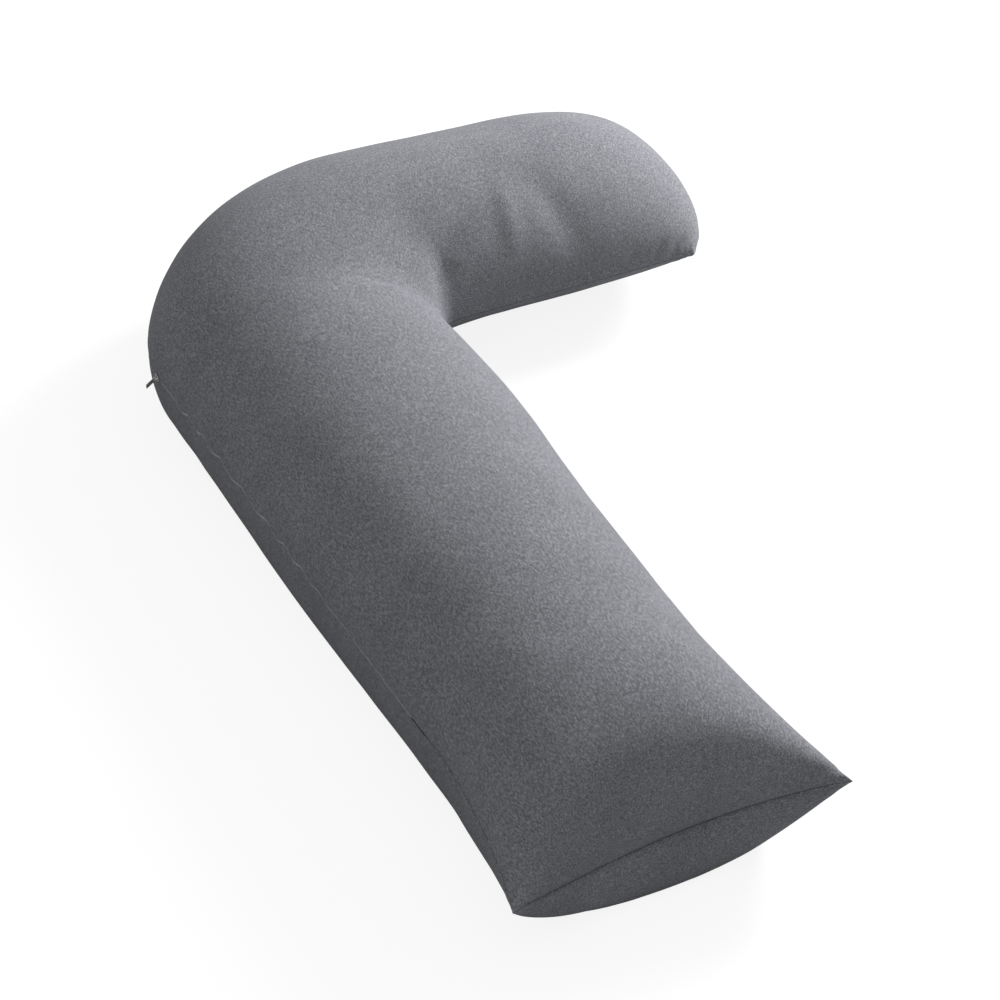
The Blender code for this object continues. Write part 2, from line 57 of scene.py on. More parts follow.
# Driving dimensions, read from the frame.
TOP_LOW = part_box("cover_top_panel")[0]
BOTTOM_LOW, BOTTOM_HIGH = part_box("cover_bottom_panel")
THREAD_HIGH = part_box("cover_seam_thread")[1]
TAPE_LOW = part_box("zip_tape_upper")[0]
COIL_LOW, COIL_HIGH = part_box("zip_coil_upper")

# Depths of the layers below the outside of the cover, and thread and coil sizes.
SEAM_HALF_GAP = 0.3 * MM
THREAD_RADIUS = 0.25 * MM
COVER_THREAD_INSET = 1.5 * MM
TAPE_INSET = 2.1 * MM
TAPE_THICKNESS = 0.5 * MM
COVER_LABEL_INSET = 3.0 * MM
LINER_LABEL_INSET = 5.0 * MM
LABEL_THICKNESS = 0.3 * MM
LINER_THREAD_INSET = 5.2 * MM
LINER_INSET = 5.8 * MM
FILLING_INSET = 6.8 * MM
COIL_OFFSET = 1.25 * MM

# Plan.
LONG_REACH = -BOTTOM_LOW.y
SHORT_REACH = THREAD_HIGH.x + COVER_THREAD_INSET - THREAD_RADIUS
SHORT_HALF_WIDTH = BOTTOM_HIGH.y
LONG_HALF_WIDTH = TAPE_INSET - TAPE_LOW.x
EAR_FLARE = 0.036
LONG_END_HALF_WIDTH = -TOP_LOW.x - EAR_FLARE
ELBOW_FROM = 0.100
ELBOW_TO = 0.134
ELBOW_LONG_HANDLE = 0.080
ELBOW_SHORT_HANDLE = 0.190
INNER_FILLET = 0.030
INNER_BELLY = 0.0136
INNER_BELLY_AT = 0.807
BELLY_SPREAD = 0.22
ROUND_HANDLE = 0.55

# Heights of the seam, and of the skin above and below it.
LONG_SEAM_HEIGHT = (COIL_LOW.z + COIL_HIGH.z) / 2 - COIL_OFFSET
SHORT_SEAM_HEIGHT = 0.086
LONG_RISE = 0.109
SHORT_RISE = 0.123
ELBOW_RISE = 0.014
SHORT_END_FALL = 0.012
ELBOW_RISE_SPREAD = 0.18
SHORT_FALL_SPREAD = 0.20
SHORT_BLEND = 0.20
LONG_DEPTH = 0.134
SHORT_DEPTH = 0.091
LONG_UNDER_BELLY = 0.018
MID_UNDER_BELLY = 0.010
MID_BELLY_AT = 0.642
MID_BELLY_SPREAD = 0.25
UNDER_BELLY_PUSH = 2.6
UNDERCUT_PUSH = 2.0
SHORT_UNDERCUT = 0.037

# Square ends with pointed ears.
LONG_END_ROUND = 0.179
SHORT_END_ROUND = 0.181
LONG_END_BULGE = 0.028
LONG_UNDER_END_BULGE = 0.069
SHORT_END_BULGE = 0.0325
INNER_EAR_LIFT = 0.010
EAR_RUN = 0.24
LONG_END_PULL = 0.0395
LONG_PULL_FADE = 0.12
LONG_END_SAG = 0.021
SAG_SKEW = 0.65
SAG_FADE_ABOVE = 0.036
SAG_FADE_BELOW = 0.020
SHORT_EAR_PULL = 0.0417
SHORT_PULL_FADE = 0.08

# Lengths of the three stretches of the loft.
INNER_FROM = SHORT_HALF_WIDTH + INNER_FILLET
INNER_TO = LONG_HALF_WIDTH + INNER_FILLET
LONG_RUN = LONG_REACH - (ELBOW_FROM + INNER_FROM) / 2
ELBOW_RUN = 0.30
SHORT_RUN = SHORT_REACH - (ELBOW_TO + INNER_TO) / 2
TOTAL_RUN = LONG_RUN + ELBOW_RUN + SHORT_RUN
ELBOW_MIDDLE = LONG_RUN + ELBOW_RUN / 2


# The skin of the cushion.


def bell(distance):
    return np.exp(-(distance**2))


def smooth_step(value):
    value = np.clip(value, 0.0, 1.0)
    return value * value * (3 - 2 * value)


def dome(distance, radius):
    """Height of a quarter round, from 0 at its foot to 1 at radius and beyond."""
    return np.sqrt(1 - (1 - np.minimum(distance / radius, 1.0)) ** 2)


def long_arm_edges(u, inset):
    """Outer and inner plan points; u runs from 0 at the free end to 1 at the elbow."""
    ear = EAR_FLARE * max(0.0, 1 - u * LONG_RUN / EAR_RUN) ** 2
    half = LONG_END_HALF_WIDTH + (LONG_HALF_WIDTH - LONG_END_HALF_WIDTH) * u + ear - inset
    reach = LONG_REACH - inset
    scale = LONG_REACH / BELLY_SPREAD
    belly = bell((u - INNER_BELLY_AT) * scale) - bell((1 - INNER_BELLY_AT) * scale) * u**4
    outer = (-half, -(reach + (ELBOW_FROM - reach) * u))
    inner = (half + INNER_BELLY * belly, -(reach + (INNER_FROM - reach) * u))
    return outer, inner


def elbow_edges(t, inset):
    """The outer edge is one cubic curve, the inner edge a fillet; t runs from 0 to 1."""
    side = LONG_HALF_WIDTH - inset
    back = SHORT_HALF_WIDTH - inset
    shorter = ROUND_HANDLE * inset
    curve = np.array(
        [
            (-side, -ELBOW_FROM),
            (-side, ELBOW_LONG_HANDLE - shorter - ELBOW_FROM),
            (ELBOW_TO - ELBOW_SHORT_HANDLE + shorter, back),
            (ELBOW_TO, back),
        ]
    )
    weights = np.array([(1 - t) ** 3, 3 * (1 - t) ** 2 * t, 3 * (1 - t) * t * t, t**3])
    angle = math.pi * (1 - t / 2)
    radius = INNER_FILLET + inset
    inner = (INNER_TO + radius * math.cos(angle), -INNER_FROM + radius * math.sin(angle))
    return tuple(weights @ curve), inner


def short_arm_edges(u, inset):
    """Outer and inner plan points; u runs from 0 at the elbow to 1 at the free end."""
    half = SHORT_HALF_WIDTH - inset
    reach = SHORT_REACH - inset
    outer = (ELBOW_TO + (reach - ELBOW_TO) * u, half)
    inner = (INNER_TO + (reach - INNER_TO) * u, -half)
    return outer, inner


def plan_edges(stations, inset):
    pairs = []
    for s in stations:
        if s <= LONG_RUN:
            pairs.append(long_arm_edges(s / LONG_RUN, inset))
        elif s <= LONG_RUN + ELBOW_RUN:
            pairs.append(elbow_edges((s - LONG_RUN) / ELBOW_RUN, inset))
        else:
            pairs.append(short_arm_edges((s - LONG_RUN - ELBOW_RUN) / SHORT_RUN, inset))
    edges = np.array(pairs)
    return edges[:, 0], edges[:, 1]


def skin(stations, angles, side, inset=0.0, half_gap=0.0):
    """Points of the skin, as rows along the pillow; side is 1 above the seam, -1 below."""
    s = np.asarray(stations, float)[:, None]
    across = np.asarray(angles, float)[None, :]
    sine, cosine = np.sin(across), np.cos(across)
    outer, inner = plan_edges(stations, inset)
    to_end, to_far_end = s, TOTAL_RUN - s
    full = dome(to_end, LONG_END_ROUND) * dome(to_far_end, SHORT_END_ROUND)
    short = smooth_step((s - LONG_RUN) / (ELBOW_RUN + SHORT_BLEND * SHORT_RUN))
    middle = bell((s / LONG_RUN - MID_BELLY_AT) * LONG_REACH / MID_BELLY_SPREAD)

    if side > 0:
        height = LONG_RISE * (1 - short) + SHORT_RISE * short
        height = height + ELBOW_RISE * bell((s - ELBOW_MIDDLE) / ELBOW_RISE_SPREAD)
        height = height - SHORT_END_FALL * bell(to_far_end / SHORT_FALL_SPREAD) - inset
        sideways = 0.0 * s
    else:
        height = LONG_DEPTH * (1 - short) + SHORT_DEPTH * short - inset
        under = (LONG_UNDER_BELLY + MID_UNDER_BELLY * middle) * (1 - short)
        sideways = UNDER_BELLY_PUSH * under * sine**2 - UNDERCUT_PUSH * SHORT_UNDERCUT * short * sine

    half_width = np.linalg.norm(outer - inner, axis=1)[:, None] / 2
    reach = cosine + sideways * cosine * full / half_width
    share = ((1 - reach) / 2)[..., None]
    plan = outer[:, None, :] * (1 - share) + inner[:, None, :] * share

    bulge = (LONG_UNDER_END_BULGE if side < 0 else LONG_END_BULGE) * sine**2
    near_end = dome(to_end, LONG_END_ROUND) * np.clip(1 - to_end / LONG_END_ROUND, 0, 1)
    far_end = dome(to_far_end, SHORT_END_ROUND) * np.clip(1 - to_far_end / SHORT_END_ROUND, 0, 1)
    plan[..., 1] += LONG_END_PULL * np.exp(-to_end / LONG_PULL_FADE) * sine**2 - bulge * near_end
    plan[..., 0] += SHORT_END_BULGE * sine**2 * far_end
    plan[..., 0] -= SHORT_EAR_PULL * np.exp(-to_far_end / SHORT_PULL_FADE) * cosine**4

    seam = LONG_SEAM_HEIGHT * (1 - short) + SHORT_SEAM_HEIGHT * short
    ear_lift = INNER_EAR_LIFT * np.maximum(-cosine, 0) ** 3
    sag = LONG_END_SAG * sine**2 * (1 + SAG_SKEW * cosine)
    sag_fade = SAG_FADE_ABOVE if side > 0 else SAG_FADE_BELOW
    seam = seam + ear_lift * np.clip(1 - to_end / EAR_RUN, 0, 1) ** 2 - sag * bell(to_end / sag_fade)
    level = seam + side * (half_gap + height * full * sine)
    if side < 0:
        level = np.maximum(level, inset)
    return np.dstack([plan, level])


def outward(points, side):
    """Unit normals of a grid of skin points, pointing out of the pillow."""
    normal = -side * np.cross(np.gradient(points, axis=0), np.gradient(points, axis=1))
    return normal / np.maximum(np.linalg.norm(normal, axis=2, keepdims=True), 1e-12)


def edge_distances(points):
    """Distances over the skin from each grid point to the sides and to the ends of its panel."""
    steps = np.linalg.norm(np.diff(points, axis=1), axis=2)
    across = np.pad(np.cumsum(steps, axis=1), ((0, 0), (1, 0)))
    across = np.minimum(across, across[:, -1:] - across)
    steps = np.linalg.norm(np.diff(points, axis=0), axis=2)
    along = np.pad(np.cumsum(steps, axis=0), ((1, 0), (0, 0)))
    along = np.minimum(along, along[-1:, :] - along)
    return across, along


def rounded(length, count):
    """Distances from an end, close together where the end curves down to its seam."""
    return length * (1 - np.cos(np.linspace(0, math.pi / 2, count, endpoint=False)))


def even_stations(spacing):
    """Stations about one spacing apart, closer together at both ends."""
    count = round(LONG_END_ROUND * math.pi / 2 / spacing)
    middle = TOTAL_RUN - LONG_END_ROUND - SHORT_END_ROUND
    return np.concatenate(
        [
            rounded(LONG_END_ROUND, count),
            np.linspace(LONG_END_ROUND, TOTAL_RUN - SHORT_END_ROUND, round(middle / spacing)),
            TOTAL_RUN - rounded(SHORT_END_ROUND, count)[::-1],
        ]
    )


# Cloth simulation of the stuffed cover.

SIM_SPACING = 0.010
SIM_STATIONS = even_stations(SIM_SPACING)
SIM_ANGLES = np.linspace(0, math.pi, 45)
SIM_INSET = 5 * MM
SIM_FRAMES = 20
SIM_PRESSURE = 4.0
SIM_SLACK = 0.03
SIM_HOLD = 0.24
RELIEF_SHARE = 0.35
RELIEF_CAP = 1.6 * MM
SMOOTH_ROUNDS = 60
RELIEF_ROUNDS = 8


def closed_grid():
    """Points and faces of the closed skin: two grids that share their edges."""
    rows, columns = len(SIM_STATIONS), len(SIM_ANGLES)
    upper = skin(SIM_STATIONS, SIM_ANGLES, 1, SIM_INSET).reshape(-1, 3)
    lower = skin(SIM_STATIONS, SIM_ANGLES, -1, SIM_INSET).reshape(-1, 3)
    top = np.arange(rows * columns).reshape(rows, columns)
    bottom = top + rows * columns
    bottom[0], bottom[-1] = top[0], top[-1]
    bottom[:, 0], bottom[:, -1] = top[:, 0], top[:, -1]
    used, packed = np.unique(np.concatenate([top, bottom]), return_inverse=True)
    points = np.concatenate([upper, lower])[used]
    top, bottom = packed.reshape(2, rows, columns)
    faces = []
    for grid, turned in ((top, True), (bottom, False)):
        quads = np.stack([grid[:-1, :-1], grid[:-1, 1:], grid[1:, 1:], grid[1:, :-1]], -1)
        quads = quads.reshape(-1, 4)
        faces.extend((quads[:, ::-1] if turned else quads).tolist())
    return points, faces, top, bottom


def border_of(grid):
    """The edge of a grid, in order round it."""
    return np.concatenate([grid[0], grid[1:-1, -1], grid[-1, ::-1], grid[-2:0:-1, 0]])


def smoothed(grid, rounds):
    """A grid of vectors after repeated averaging with its neighbours."""
    for _ in range(rounds):
        padded = np.pad(grid, ((1, 1), (1, 1), (0, 0)), mode="edge")
        grid = (
            grid * 4
            + padded[:-2, 1:-1]
            + padded[2:, 1:-1]
            + padded[1:-1, :-2]
            + padded[1:-1, 2:]
        ) / 8
    return grid


def simulate_cover():
    """Inflates the slightly slack cover and returns what that adds, as relief.

    The seam is held still, and the filling holds the rest softly near the stuffed shape.
    """
    points, faces, top, bottom = closed_grid()
    mesh = bpy.data.meshes.new("stuffing_test")
    mesh.from_pydata(points.tolist(), [], faces)
    pillow = bpy.data.objects.new("stuffing_test", mesh)
    bpy.context.scene.collection.objects.link(pillow)
    held = pillow.vertex_groups.new(name="held")
    seam_points = border_of(top).tolist()
    inside_points = sorted(set(range(len(points))) - set(seam_points))
    held.add(seam_points, 1.0, "REPLACE")
    held.add(inside_points, SIM_HOLD, "REPLACE")
    cloth = pillow.modifiers.new("cloth", "CLOTH")
    settings = cloth.settings
    settings.quality = 6
    settings.mass = 0.25
    settings.tension_stiffness = 15
    settings.compression_stiffness = 15
    settings.shear_stiffness = 5
    settings.bending_stiffness = 1.0
    settings.vertex_group_mass = "held"
    settings.pin_stiffness = 1.0
    settings.use_pressure = True
    settings.uniform_pressure_force = SIM_PRESSURE
    settings.shrink_min = -SIM_SLACK
    settings.effector_weights.gravity = 0
    cloth.collision_settings.use_collision = False
    for number in range(1, SIM_FRAMES + 1):
        bpy.context.scene.frame_set(number)
    shown = pillow.evaluated_get(bpy.context.evaluated_depsgraph_get())
    moved = np.array([v.co for v in shown.data.vertices]) - points
    bpy.context.scene.frame_set(1)
    bpy.data.objects.remove(pillow)
    relief = {}
    for side, grid in ((1, top), (-1, bottom)):
        shift = moved[grid]
        shift = RELIEF_SHARE * (shift - smoothed(shift, SMOOTH_ROUNDS))
        length = np.linalg.norm(shift, axis=2, keepdims=True)
        shift = shift * np.minimum(1, RELIEF_CAP / np.maximum(length, 1e-9))
        relief[side] = smoothed(shift, RELIEF_ROUNDS)
    return relief


def cubic_weights(places, knots):
    """Matrix that reads values given at the knots at other places, without corners."""
    count = len(knots)
    at = np.interp(places, knots, np.arange(count))
    first = np.clip(np.floor(at).astype(int), 0, count - 2)
    t = at - first
    weights = np.zeros((len(at), count))
    parts = (
        -0.5 * t + t**2 - 0.5 * t**3,
        1 - 2.5 * t**2 + 1.5 * t**3,
        0.5 * t + 2 * t**2 - 1.5 * t**3,
        -0.5 * t**2 + 0.5 * t**3,
    )
    for step, part in enumerate(parts, start=-1):
        np.add.at(weights, (np.arange(len(at)), np.clip(first + step, 0, count - 1)), part)
    return weights


def read_relief(relief, stations, angles):
    rows = cubic_weights(stations, SIM_STATIONS)
    columns = cubic_weights(angles, SIM_ANGLES)
    return np.einsum("ri,ijk,cj->rck", rows, relief, columns)


# Sculpted relief: folds and seam puckers.

RELIEF = simulate_cover()

# Each fold: side, places along it as (station, angle), half width, height (a dent if negative).
# They lie by the elbow, on the short arm, by its seam, and at the two near corners.
FOLDS = (
    (1, ((1.100, 2.78), (1.185, 2.60), (1.255, 2.28)), 0.016, -5.0 * MM),
    (1, ((1.325, 2.00), (1.310, 2.33), (1.292, 2.69)), 0.014, 3.2 * MM),
    (1, ((1.370, 1.95), (1.375, 2.38), (1.385, 2.80)), 0.022, -3.6 * MM),
    (1, ((1.085, 2.30), (1.045, 2.57), (1.008, 2.87)), 0.024, 3.0 * MM),
    (1, ((1.498, 3.07), (1.512, 2.95), (1.526, 2.80)), 0.0045, -1.7 * MM),
    (1, ((1.532, 3.07), (1.547, 2.93), (1.563, 2.77)), 0.0045, -1.6 * MM),
    (1, ((1.455, 3.08), (1.466, 2.97), (1.474, 2.86)), 0.0040, -1.2 * MM),
    (1, ((0.010, 0.30), (0.017, 0.55), (0.026, 0.80)), 0.0070, -3.0 * MM),
    (1, ((0.006, 0.68), (0.012, 0.80), (0.024, 0.88)), 0.0055, -2.4 * MM),
    (1, ((0.012, 2.99), (0.011, 2.80), (0.008, 2.62)), 0.0060, -2.4 * MM),
)


FOLD_STEPS = 24
FOLD_FADE = 0.25


def fold_height(points, side):
    """Height that the folds add at each point of a grid."""
    total = np.zeros(points.shape[:2])
    for fold_side, places, width, height in FOLDS:
        if fold_side != side:
            continue
        stations, angles = np.array(places).T
        steps = np.linspace(0, len(places) - 1, FOLD_STEPS)
        along = np.interp(steps, np.arange(len(places)), stations)
        across = np.interp(steps, np.arange(len(places)), angles)
        line = np.array([skin([s], [a], side)[0, 0] for s, a in zip(along, across)])
        strength = np.sin(np.linspace(FOLD_FADE, math.pi - FOLD_FADE, FOLD_STEPS))
        gaps = np.linalg.norm(points[:, :, None, :] - line, axis=3)
        nearest = gaps.argmin(axis=2)
        gap = np.take_along_axis(gaps, nearest[..., None], 2)[..., 0]
        total += height * strength[nearest] * bell(gap / width)
    return total


def lumps(points):
    """Slow, shallow unevenness of the filling."""
    places = [Vector(p) for p in points.reshape(-1, 3)]
    flat = [noise.noise(p * SLOW_LUMPS) + noise.noise(p * QUICK_LUMPS) / 3 for p in places]
    return np.array(flat).reshape(points.shape[:2])


GROOVE_DEPTH = 1.7 * MM
GROOVE_WIDTH = 2.8 * MM
PUCKER_HEIGHT = 0.7 * MM
PUCKER_REACH = 0.014
LUMP_HEIGHT = 1.2 * MM
EAR_REACH = 0.030
SLOW_LUMPS = 7.0
QUICK_LUMPS = 18.0
REST_FADE = 0.012
RELIEF_FADE = 0.020
FOLD_EDGE_FADE = 0.006
PUCKER_EDGE_FADE = 0.004


# Lengths of the seam's ripples: two quick ones, and a slow one that changes each of them.
SHORT_RIPPLE, SHORT_RIPPLE_CHANGE = 0.0026, 0.031
LONG_RIPPLE, LONG_RIPPLE_CHANGE = 0.0041, 0.05


def seam_ripple(stations, angles):
    """Uneven ripples that run along the seam, in -1 to 1."""
    s = np.asarray(stations)[:, None]
    across = np.cos(np.asarray(angles))[None, :] * LONG_HALF_WIDTH
    path = s + across
    short = np.sin(path / SHORT_RIPPLE) * np.sin(path / SHORT_RIPPLE_CHANGE)
    long = np.sin(path / LONG_RIPPLE + 2 * np.sin(path / LONG_RIPPLE_CHANGE))
    return 0.5 * short + 0.5 * long


ZIP_LOW_STATION = EAR_RUN
ZIP_HIGH_STATION = LONG_RUN
SLIT_TAPER = 0.02
ZIP_REACH = 0.022
COIL_SHOWN_DEPTH = 0.7 * MM

# The zip's waves are calm near the closed slider, and grow slowly from the low end.
ZIP_WAVE_HEIGHT = 3.4 * MM
ZIP_WAVE_LENGTH = 0.050
WAVE_LENGTH_CHANGE = 1.3
WAVES_TO_CHANGE = 5.3
WAVE_CALM_ABOVE = 0.030
WAVE_FADE_ABOVE = 0.06
WAVE_CALM_BELOW = 0.070
WAVE_FADE_BELOW = 0.300

# The slit between the two lips of the cover, wider round the closed slider.
ZIP_HALF_SLIT = 1.25 * MM
LIP_REACH = 0.006
LIP_MEAN, LIP_CHANGE = 0.90, 0.10
LIP_LENGTH, LIP_LENGTH_CHANGE = 0.019, 0.047
SLIDER_BELOW = 0.006
SLIDER_REACH = 0.010
SLIDER_OPENING = 1.3


def zip_share(stations):
    """1 along the zip and 0 past its ends."""
    s = np.asarray(stations)
    low = (s - ZIP_LOW_STATION) / SLIT_TAPER + 1
    high = (ZIP_HIGH_STATION - s) / SLIT_TAPER + 1
    return np.clip(np.minimum(low, high), 0, 1)


def zip_wave(stations):
    """Height of the zip's slow waves above its straight line; flat at the closed slider."""
    s = np.asarray(stations)
    above = smooth_step((ZIP_HIGH_STATION - WAVE_CALM_ABOVE - s) / WAVE_FADE_ABOVE)
    below = smooth_step((s - ZIP_LOW_STATION - WAVE_CALM_BELOW) / WAVE_FADE_BELOW)
    turn = 2 * math.pi * s / ZIP_WAVE_LENGTH
    wave = np.sin(turn + WAVE_LENGTH_CHANGE * np.sin(turn / WAVES_TO_CHANGE))
    return ZIP_WAVE_HEIGHT * above * below * wave


def lip_gap(stations):
    """How far each lip of the slit stands from the zip's line."""
    s = np.asarray(stations)
    opening = LIP_MEAN + LIP_CHANGE * np.sin(s / LIP_LENGTH + 1.5 * np.sin(s / LIP_LENGTH_CHANGE))
    at_slider = bell((s - ZIP_HIGH_STATION + SLIDER_BELOW) / SLIDER_REACH)
    return ZIP_HALF_SLIT * np.maximum(opening, SLIDER_OPENING * at_slider) * zip_share(s)


def shaped(stations, angles, side, inset=0.0, half_gap=0.0):
    """Skin points with all of the relief on them."""
    points = skin(stations, angles, side, inset, half_gap)
    normal = outward(points, side)
    across, along = edge_distances(points)
    away = np.minimum(across, along)
    past_ear = smooth_step(np.maximum(across, along) / EAR_REACH)
    inside = smooth_step(away / RELIEF_FADE)
    resting = smooth_step(points[..., 2] / REST_FADE) if side < 0 else np.ones_like(away)
    zipped = zip_share(stations)[:, None] * (np.asarray(angles)[None, :] < math.pi / 2)
    height = fold_height(points, side) * smooth_step(away / FOLD_EDGE_FADE)
    height = height + LUMP_HEIGHT * lumps(points) * inside
    pucker = bell(away / PUCKER_REACH) * smooth_step(away / PUCKER_EDGE_FADE)
    height = height + PUCKER_HEIGHT * seam_ripple(stations, angles) * pucker
    height = height - GROOVE_DEPTH * bell(away / GROOVE_WIDTH) * (1 - zipped) * past_ear
    relief = read_relief(RELIEF[side], stations, angles) * inside[..., None]
    points = points + (relief + normal * height[..., None]) * resting[..., None]
    points[..., 2] += zipped * bell(away / ZIP_REACH) * zip_wave(stations)[:, None]
    points[..., 2] += side * lip_gap(stations)[:, None] * zipped * bell(away / LIP_REACH)
    if side < 0:
        points[..., 2] = np.maximum(points[..., 2], inset)
    return points


# Building pieces.

PIECES = bpy.data.collections.new("pieces")
bpy.context.scene.collection.children.link(PIECES)


def piece(name, data, material, body, slot, *nodes):
    """A finished piece that rides on a body and stands for CAD nodes."""
    obj = bpy.data.objects.new(name, data)
    PIECES.objects.link(obj)
    data.materials.append(material)
    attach(obj, body)
    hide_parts(*nodes)
    return obj


def grid_faces(grid, side):
    quads = np.stack([grid[:-1, :-1], grid[:-1, 1:], grid[1:, 1:], grid[1:, :-1]], -1)
    quads = quads.reshape(-1, 4)
    return (quads if side > 0 else quads[:, ::-1]).tolist()


def ring_faces(first, second, side):
    """Quads between two rings of the same length."""
    quads = np.stack([first, np.roll(first, -1), np.roll(second, -1), second], -1)
    return (quads[:, ::-1] if side > 0 else quads).tolist()


def new_mesh(name, points, faces):
    mesh = bpy.data.meshes.new(name)
    mesh.from_pydata(np.asarray(points).tolist(), [], faces)
    mesh.shade_smooth()
    return mesh


FINE_SPACING = 0.0048
FINE_STATIONS = even_stations(FINE_SPACING)
LIP_ANGLE = 0.10
EDGE_ANGLE = 0.22
NEAR_SEAM = np.concatenate(
    [np.linspace(0, LIP_ANGLE, 8, endpoint=False), np.linspace(LIP_ANGLE, EDGE_ANGLE, 5, endpoint=False)]
)
FINE_ANGLES = np.concatenate(
    [NEAR_SEAM, np.linspace(EDGE_ANGLE, math.pi - EDGE_ANGLE, 80), math.pi - NEAR_SEAM[::-1]]
)
INNER_SPACING = 0.009
INNER_STATIONS = even_stations(INNER_SPACING)
INNER_ANGLES = np.linspace(0, math.pi, 60)

# The turned-in edge of the cover: inset at the seam, inset at the zip, and half gap at the zip.
COVER_LIPS = ((3.4 * MM, 0.7 * MM, 0.1 * MM), (5.0 * MM, 1.2 * MM, 1.6 * MM))
LINER_LIPS = ((LINER_INSET + 1.0 * MM, LINER_INSET + 1.0 * MM, 0.0),)


def edge_ring(stations, angles, side, edge, lip):
    """Points where the edge of a panel lies once it is turned in to its seam or its zip."""
    sewn_inset, zip_inset, zip_gap = lip
    zipped = (zip_share(stations)[:, None] * (angles[None, :] < 1)).reshape(-1)[edge][:, None]
    sewn = skin(stations, angles, side, sewn_inset, SEAM_HALF_GAP).reshape(-1, 3)[edge]
    parted = skin(stations, angles, side, zip_inset, SEAM_HALF_GAP).reshape(-1, 3)[edge]
    lift = zip_wave(stations) + side * (lip_gap(stations) + zip_gap)
    parted[:, 2] += np.repeat(lift, len(angles))[edge]
    return sewn * (1 - zipped) + parted * zipped


def fabric_panel(name, stations, angles, side, inset, lips):
    """Mesh of one panel: the shaped skin, with its edge turned in."""
    points = shaped(stations, angles, side, inset, SEAM_HALF_GAP)
    grid = np.arange(points[..., 0].size).reshape(points.shape[:2])
    faces = grid_faces(grid, side)
    edge = border_of(grid)
    parts = [points.reshape(-1, 3)]
    last, count = edge, grid.size
    for lip in lips:
        ring = np.arange(len(edge)) + count
        parts.append(edge_ring(stations, angles, side, edge, lip))
        faces += ring_faces(last, ring, side)
        last, count = ring, count + len(edge)
    return new_mesh(name, np.concatenate(parts), faces)


def add_cover(material):
    for name, side in (("cover_top_panel", 1), ("cover_bottom_panel", -1)):
        mesh = fabric_panel(name + "_jersey", FINE_STATIONS, FINE_ANGLES, side, 0.0, COVER_LIPS)
        piece(name + "_jersey", mesh, material, "pillow", "jersey", name)


def add_liner(material):
    for name, side in (("liner_top_panel", 1), ("liner_bottom_panel", -1)):
        shape = (INNER_STATIONS, INNER_ANGLES, side, LINER_INSET, LINER_LIPS)
        mesh = fabric_panel(name + "_cloth", *shape)
        piece(name + "_cloth", mesh, material, "pillow", "liner", name)


TUFT_DEPTH = 2.5 * MM
TUFT_SIZE = 0.03
TUFT_FADE = 0.03


def add_filling(material):
    """The fibre inside the liner, closed where its two halves meet, with an uneven tufted face."""
    parts, faces, grids = [], [], []
    for side in (1, -1):
        points = shaped(INNER_STATIONS, INNER_ANGLES, side, FILLING_INSET)
        tufts = [abs(noise.noise(Vector(p) / TUFT_SIZE)) for p in points.reshape(-1, 3)]
        inside = smooth_step(np.minimum(*edge_distances(points)) / TUFT_FADE)
        depth = TUFT_DEPTH * np.array(tufts).reshape(points.shape[:2]) * inside
        points = points - outward(points, side) * depth[..., None]
        grids.append(np.arange(points[..., 0].size).reshape(points.shape[:2]) + sum(len(p) for p in parts))
        parts.append(points.reshape(-1, 3))
        faces += grid_faces(grids[-1], side)
    mesh = new_mesh("fibre_filling_tufts", np.concatenate(parts), faces)
    bm = bmesh.new()
    bm.from_mesh(mesh)
    bmesh.ops.remove_doubles(bm, verts=bm.verts, dist=0.05 * MM)
    bm.to_mesh(mesh)
    bm.free()
    piece("fibre_filling_tufts", mesh, material, "pillow", "fibre", "fibre_filling")


def tube(points, radii, sides=6):
    """Points and faces of a round tube through the points, closed at both ends."""
    points = np.asarray(points, float)
    along = np.gradient(points, axis=0)
    along /= np.maximum(np.linalg.norm(along, axis=1, keepdims=True), 1e-12)
    reference = np.where(np.abs(along[:, 2:]) < 0.9, [[0.0, 0.0, 1.0]], [[1.0, 0.0, 0.0]])
    first = np.cross(along, reference)
    first /= np.linalg.norm(first, axis=1, keepdims=True)
    second = np.cross(along, first)
    turn = np.linspace(0, 2 * math.pi, sides, endpoint=False)
    ring = np.cos(turn)[None, :, None] * first[:, None] + np.sin(turn)[None, :, None] * second[:, None]
    rings = points[:, None] + ring * np.broadcast_to(radii, len(points))[:, None, None]
    index = np.arange(rings[..., 0].size).reshape(rings.shape[:2])
    after = np.roll(index, -1, axis=1)
    faces = np.stack([index[:-1], after[:-1], after[1:], index[1:]], -1).reshape(-1, 4).tolist()
    faces += [index[0, ::-1].tolist(), index[-1].tolist()]
    return rings.reshape(-1, 3), faces


def joined_mesh(name, parts):
    """One mesh from several (points, faces) parts."""
    faces, start = [], 0
    for points, part_faces in parts:
        faces += [[start + k for k in face] for face in part_faces]
        start += len(points)
    return new_mesh(name, np.concatenate([points for points, _faces in parts]), faces)


STITCH_LENGTH = 2.7 * MM
STITCH_PITCH = 3.6 * MM
STITCH_RADIUS = 0.34 * MM
STITCH_SWELL = (0.25, 0.85, 1.0, 0.85, 0.25)


def stitches(path):
    """Plump machine stitches along a path, each sinking into the cloth at both ends."""
    steps = np.linalg.norm(np.diff(path, axis=0), axis=1)
    along = np.concatenate([[0], np.cumsum(steps)])
    parts = []
    for start in np.arange(0, along[-1] - STITCH_LENGTH, STITCH_PITCH):
        at = start + np.linspace(0, STITCH_LENGTH, len(STITCH_SWELL))
        points = np.stack([np.interp(at, along, path[:, k]) for k in range(3)], 1)
        parts.append(tube(points, STITCH_RADIUS * np.array(STITCH_SWELL), 5))
    return parts


